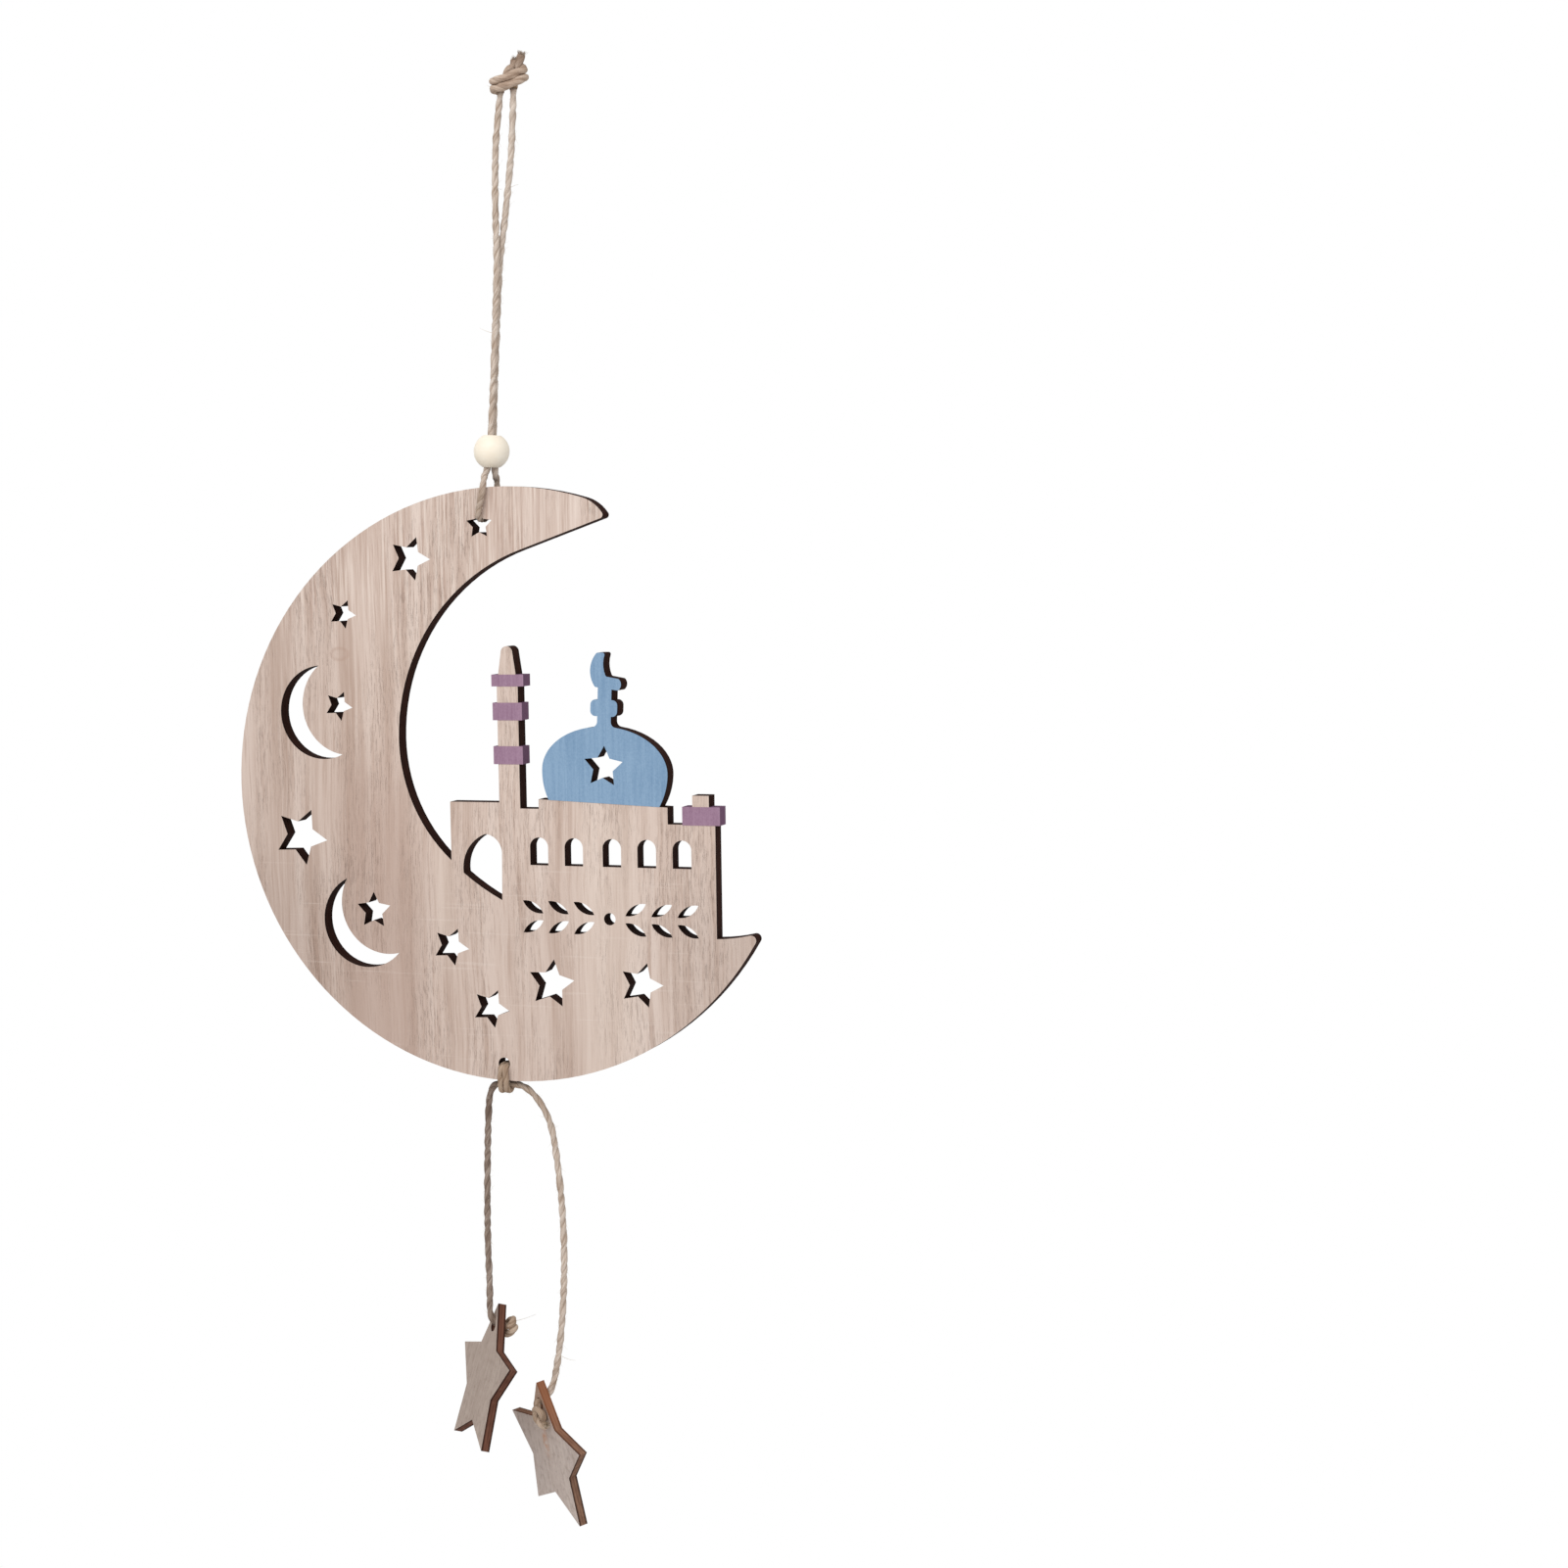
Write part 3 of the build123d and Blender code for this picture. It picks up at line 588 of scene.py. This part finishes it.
def hairs(name, lines, spacing, reach, seed, cut=(), strays=()):
    """Loose fibres that stand off the twine, the frayed fibres at its cut ends, and a few long strays.

    A stray has the number of its line, its share of the way along it, its direction and bend as
    right, back and up along the board, and its length.
    """
    chance = random.Random(seed)
    points = []
    faces = []
    for line in lines:
        length = sum((b - a).length for a, b in zip(line, line[1:])) / MM
        ways = bearings(line)
        for _ in range(int(length / spacing)):
            index = chance.randrange(1, len(line) - 1)
            ahead, side, over = ways[index]
            angle = chance.uniform(0, 2 * pi)
            outward = side * cos(angle) + over * sin(angle)
            bow = side * chance.uniform(-1, 1) + over * chance.uniform(-1, 1) + ahead * chance.uniform(-1, 1)
            heading = ahead * chance.choice((-1, 1)) * chance.uniform(0.4, 1)
            heading += outward * chance.uniform(0.1, 0.7)
            start = line[index] + outward * (FUZZ_ROOT * cord_diameter * MM)
            hair_length = chance.uniform(0.3, 1) ** 2 * reach * MM
            add_fibre(points, faces, start, heading, bow, hair_length, FUZZ_THICKNESS)
    for line in cut:
        ahead, side, over = bearings(line)[-1]
        for _ in range(FRAYED_FIBRES):
            angle = chance.uniform(0, 2 * pi)
            outward = side * cos(angle) + over * sin(angle)
            reach_out = sqrt(chance.random())
            start = line[-1] + outward * (reach_out * FRAY_ROOT * cord_diameter * MM) - ahead * (0.4 * MM)
            heading = ahead + outward * (reach_out * chance.uniform(0.0, 0.5))
            bow = side * chance.uniform(-1, 1) + over * chance.uniform(-1, 1)
            add_fibre(points, faces, start, heading, bow, chance.uniform(0.7, 1.6) * MM, FRAY_THICKNESS)
    for number, share, toward, bend, stray_length in strays:
        start = lines[number][round(share * (len(lines[number]) - 1))]
        heading = turned(Vector(toward))
        bow = turned(Vector(bend))
        add_fibre(points, faces, start, heading, bow, stray_length * MM, STRAY_THICKNESS)
    return new_piece(name, points, faces, loose_fibre)


# Hanging cord: two strands from the star hole, up both faces of the board and through the bead
seat_above_star = 1.6
seat_v = rim_top - hanging_star_inset + seat_above_star
bead_v = rim_top + bead_rise
fork_v = rim_top + fork_rise
pair_lean = (fork_u - bead_u) / (fork_v - bead_v)
entry_v = bead_v - bead_entry_drop
entry_u = bead_u - bead_entry_drop * pair_lean
leg_top_v = rim_top + leg_rise
leg_top_u = hanging_star_u + (entry_u - hanging_star_u) * (leg_top_v - seat_v) / (entry_v - seat_v)
leg_lean = (leg_top_u - hanging_star_u) / (leg_top_v - seat_v)


def hanging_route(side, strand):
    """Points of one strand: side -1 runs up the front of the board, 1 up its back and further right."""
    return [
        place(hanging_star_u, seat_v),
        place(hanging_star_u, seat_v, side * leg_depth),
        place(hanging_star_u + leg_depth * leg_lean + side + 1.0, seat_v + leg_depth, side * leg_depth),
        place(leg_top_u + side * 0.45 + 0.45, leg_top_v, side * leg_depth),
        place(entry_u + side * 1.1 - 0.4, entry_v - 1.4, side * 1.3),
        place(entry_u + side * 0.9, entry_v, side * 0.7),
        place(entry_u + side * 0.45 + 4.0 * pair_lean, entry_v + 4.0, side * 0.85),
        place(entry_u - side * 0.1 + 12.0 * pair_lean, entry_v + 12.0, side * 0.88),
        place(fork_u - side * 0.1 - 12.0 * pair_lean, fork_v - 12.0, side * 0.88),
        place(fork_u, fork_v, side * 0.95),
        *[place(u, rim_top + rise, depth) for u, rise, depth in strand],
    ]


left_strand = [(0.05, 75.4, -0.8), (0.0, 85.3, -0.3), (0.4, 96.3, 0.0), (2.0, 107.4, 0.0)]
right_strand = [(2.0, 71.8, 0.8), (3.7, 82.8, 0.3), (5.2, 93.8, 0.0), (5.9, 108.0, 0.0)]
for name, side, strand, colour, tight, seed, stray in (
    ("front", -1, left_strand, jute, 1.4, 10, (0, 0.42, (-1.0, -0.1, 0.25), (0.0, 0.0, 0.5), 4.6)),
    ("back", 1, right_strand, loop_jute, 0.6, 12, (0, 0.8, (0.8, 0.0, 0.5), (0.0, 0.0, -0.8), 4.0)),
):
    route = hanging_route(side, strand)
    line = route_line(route)
    cord = twine(f"hanging_twine_{name}", [line], colour, thickness=1.95, tight=tight)
    fuzz = hairs(f"hanging_fuzz_{name}", [line], spacing=0.28, reach=2.2, seed=seed, strays=[stray])
    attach(cord, "hanging_cord")
    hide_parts(f"cord_{name}")
    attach(fuzz, "hanging_cord")

# Top knot: both strands wound round each other, then their two cut ends, placed from the eye of the loop
knot_routes = [
    [(-1.4, 2.1, 0), (-2.4, 2.7, 1.4), (-3.6, 3.1, 0.2), (-2.6, 2.8, -1.9), (0.8, 3.1, -2.3),
     (4.0, 4.2, -2.1), (6.2, 5.4, -0.2), (4.6, 6.0, 2.0), (1.0, 5.2, 2.4), (-2.2, 4.8, 1.8),
     (-3.7, 5.1, 0.0), (-2.4, 5.1, -1.8), (0.8, 5.4, -2.2), (3.8, 6.5, -2.0), (6.0, 7.6, -0.2),
     (4.9, 8.2, 1.2), (3.7, 8.6, 0.8), (4.5, 10.2, 0.2), (5.0, 11.6, 0.1)],
    [(2.5, 2.7, 0), (2.3, 3.8, 0.8), (1.2, 5.0, 0.3), (0.2, 6.4, 0.2), (0.9, 7.8, 0.3), (2.4, 8.8, 0.7),
     (2.7, 10.4, 0.9)],
]
knot_lines = []
for route in knot_routes:
    knot_lines.append(route_line([place(eye_u + u, eye_v + v, depth) for u, v, depth in route]))
knot = twine("top_knot", knot_lines, knot_jute, thickness=2.4)
knot_fuzz = hairs("top_knot_fuzz", knot_lines, spacing=0.16, reach=2.0, seed=5, cut=knot_lines)
for piece in (knot, knot_fuzz):
    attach(piece, "hanging_cord")
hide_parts("hanging_knot")

# Hitch: two turns through the lower hole and over the edge, and the bight that the tails come out of
hitch_u = pendant_hole_u
hitch_eye = rim_foot + pendant_hole_inset - pendant_hole_diameter / 2 + cord_gap + hitch_thickness / 2
hitch_turn = [
    (0.55, hitch_eye, 0.0), (0.6, hitch_eye, -3.5), (0.75, -81.6, -3.65), (0.85, -84.2, -3.55),
    (0.85, -86.3, -2.6), (0.8, -86.5, -0.4), (0.75, -85.6, 1.8), (0.7, -84.0, 3.4), (0.7, -81.6, 3.7),
    (0.6, hitch_eye, 3.6), (0.55, hitch_eye, 0.1),
]
bight = [
    (-5.2, collar_v - 0.1, 0.0), (-4.2, collar_v, -0.3), (hitch_u, collar_v + 0.1, -0.5),
    (-0.4, collar_v, -0.3), (0.6, collar_v - 0.1, 0.0),
]
hitch_lines = []
for side in (-1, 1):
    route = [place(hitch_u + side * beside, v, depth) for beside, v, depth in hitch_turn]
    hitch_lines.append(route_line(route))
hitch_lines.append(route_line([place(*point) for point in bight]))
hitch = twine("pendant_hitch_twine", hitch_lines, brown_jute, thickness=1.9)
hitch_fuzz = hairs("pendant_hitch_fuzz", hitch_lines, spacing=0.6, reach=2.0, seed=8)
for piece in (hitch, hitch_fuzz):
    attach(piece, "moon")
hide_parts("pendant_hitch")


def on_charm(charm, roll, across, up, out):
    """Point beside a charm's hole: across and up its face, and out of its front."""
    side, rise, inward, middle = charm
    turn = radians(roll)
    reach = charm_hole_height + seat_in_charm
    seat = middle + side * (reach * sin(turn) * MM) + rise * (reach * cos(turn) * MM)
    return seat + (side * across + rise * up - inward * out) * MM


# Tails, each from the hitch to the hole of its charm, with the knot that stops the charm
left_tail = [(-8.9, 13.1), (-9.5, 29.1), (-9.8, 46.1), (-9.4, 60.1)]
left_route = [
    place(hitch_u - collar_half, collar_v),
    place(left_exit_u, collar_v),
    *[place(u, collar_v - drop) for u, drop in left_tail],
    on_charm(left_charm, left_charm_roll, 0, 0, charm_entry),
    on_charm(left_charm, left_charm_roll, 0, 0, -charm_thickness - stopper_gap),
]
right_tail = [(7.2, 4.1), (10.6, 10.6), (12.0, 19.6), (13.2, 31.1), (13.8, 45.1), (13.3, 60.1), (11.8, 75.3)]
right_route = [
    place(hitch_u + collar_half, collar_v),
    place(right_exit_u, collar_v),
    *[place(u, collar_v - drop) for u, drop in right_tail],
    on_charm(right_charm, right_charm_roll, 0, 0, -charm_thickness - charm_entry),
    on_charm(right_charm, right_charm_roll, 0, 0, stopper_gap),
]
left_knot = [
    (0, 0, -2.2), (0, 0, -3.4), (2.2, 0.6, -4.2), (1.5, 2.6, -5.3), (-1.4, 2.1, -5.3), (-2.1, -1.0, -4.2),
    (0.3, -2.6, -4.2), (2.4, -0.8, -5.2), (1.4, 0.9, -6.2), (-0.4, 0.4, -5.8),
]
right_knot = [
    (0, 0, 0.0), (0.4, 0.5, 1.0), (1.0, -0.4, 1.3), (0.3, -2.4, 1.2), (1.6, -4.4, 1.1), (3.6, -3.6, 1.2),
    (3.7, -1.2, 1.8), (2.1, -0.3, 2.6), (1.3, -2.8, 2.7), (1.8, -5.2, 2.1), (3.4, -5.8, 1.4),
    (4.2, -5.4, 1.2),
]
for name, route, knot_route, charm, roll, length, colour, seed, stray in (
    ("left", left_route, left_knot, left_charm, left_charm_roll, 0.075, shaded_jute, 25,
     (1, 0.45, (1.0, 0.0, 0.2), (0.0, 0.0, 0.5), 8.5)),
    ("right", right_route, right_knot, right_charm, right_charm_roll, 0.0995, jute, 26,
     (0, 0.84, (0.9, -0.1, -0.45), (0.0, 0.0, 0.9), 6.0)),
):
    line = route_line(route)
    stop_line = route_line([on_charm(charm, roll, *point) for point in knot_route])
    tail = twine(f"{name}_tail_twine", [line], colour)
    stop = twine(f"{name}_stop_knot", [stop_line], brown_jute, thickness=2.1, lay=7.0)
    fuzz = hairs(
        f"{name}_tail_fuzz", [line, stop_line], spacing=0.28, reach=2.2, seed=seed,
        cut=[stop_line], strays=[stray],
    )
    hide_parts(f"tail_{name}")
    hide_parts(f"stopper_{name}")
    for piece in (tail, stop, fuzz):
        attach(piece, f"{name}_tail")

# Finishes of the pieces that keep their own shape
for node, material in (
    ("crescent_board", board_wood), ("dome_paint", blue_paint), ("band_paint_1", purple_paint),
    ("band_paint_2", purple_paint), ("band_paint_3", purple_paint), ("band_paint_4", purple_paint),
    ("wooden_bead", bead_wood), ("star_charm_left", left_wood), ("star_charm_right", right_wood),
):
    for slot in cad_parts[node].material_slots:
        slot.material = material

# Floor
bpy.ops.mesh.primitive_circle_add(vertices=96, radius=0.55, fill_type="NGON", location=(0.005, 0, -0.72))
floor = bpy.context.object
floor.name = "studio_floor"
floor.data.materials.append(floor_finish())

# White room that lights less than it shows, and two lamps
world = bpy.data.worlds.new("studio")
world.use_nodes = True
bpy.context.scene.world = world
room = Finish(world.node_tree)
seen = room.node("ShaderNodeLightPath", out="Is Camera Ray")
rays = seen.socket.node.outputs
shown = seen + Value(room, rays["Is Glossy Ray"]) + Value(room, rays["Is Transmission Ray"])
room_light = 0.62
strength = room_light + shown * (1 - room_light)
sky = room.node("ShaderNodeBackground", {}, {"Color": (1, 1, 1, 1), "Strength": strength})
room.node("ShaderNodeOutputWorld", {}, {"Surface": sky})

lamp_target = Vector((0, 0, -0.19))
for name, spot, size, power in (
    ("key", Vector((-0.25, -1.2, 0.85)), 1.3, 15.0),
    ("fill", Vector((1.2, -1.0, 0.1)), 1.2, 4.0),
):
    lamp = bpy.data.lights.new(name, "AREA")
    lamp.shape = "SQUARE"
    lamp.size = size
    lamp.energy = power
    holder = bpy.data.objects.new(name, lamp)
    holder.location = spot
    holder.rotation_euler = (lamp_target - spot).to_track_quat("-Z", "Y").to_euler()
    bpy.context.collection.objects.link(holder)

# Camera, placed along the board and rolled with it
azimuth = radians(22.9)
elevation = radians(5.2)
camera_roll = radians(-1.3)
camera_distance = 763 * MM
aim = Vector((-5.35, -2.5, -190.37)) * MM
ahead = Vector((-sin(azimuth) * cos(elevation), cos(azimuth) * cos(elevation), -sin(elevation)))
level = Vector((cos(azimuth), sin(azimuth), 0))
above = level.cross(ahead)
right = level * cos(camera_roll) + above * sin(camera_roll)
top = above * cos(camera_roll) - level * sin(camera_roll)
camera = bpy.data.cameras.new("camera")
camera.lens = 62.62
camera.sensor_width = 36.0
camera.shift_x = 0.1815
camera.shift_y = 0.0059
viewer = bpy.data.objects.new("camera", camera)
columns = Matrix((turned(right), turned(top), -turned(ahead))).transposed()
viewer.matrix_world = Matrix.Translation(turned(aim - ahead * camera_distance)) @ columns.to_4x4()
bpy.context.collection.objects.link(viewer)
bpy.context.scene.camera = viewer
bpy.context.scene.view_settings.view_transform = "Standard"
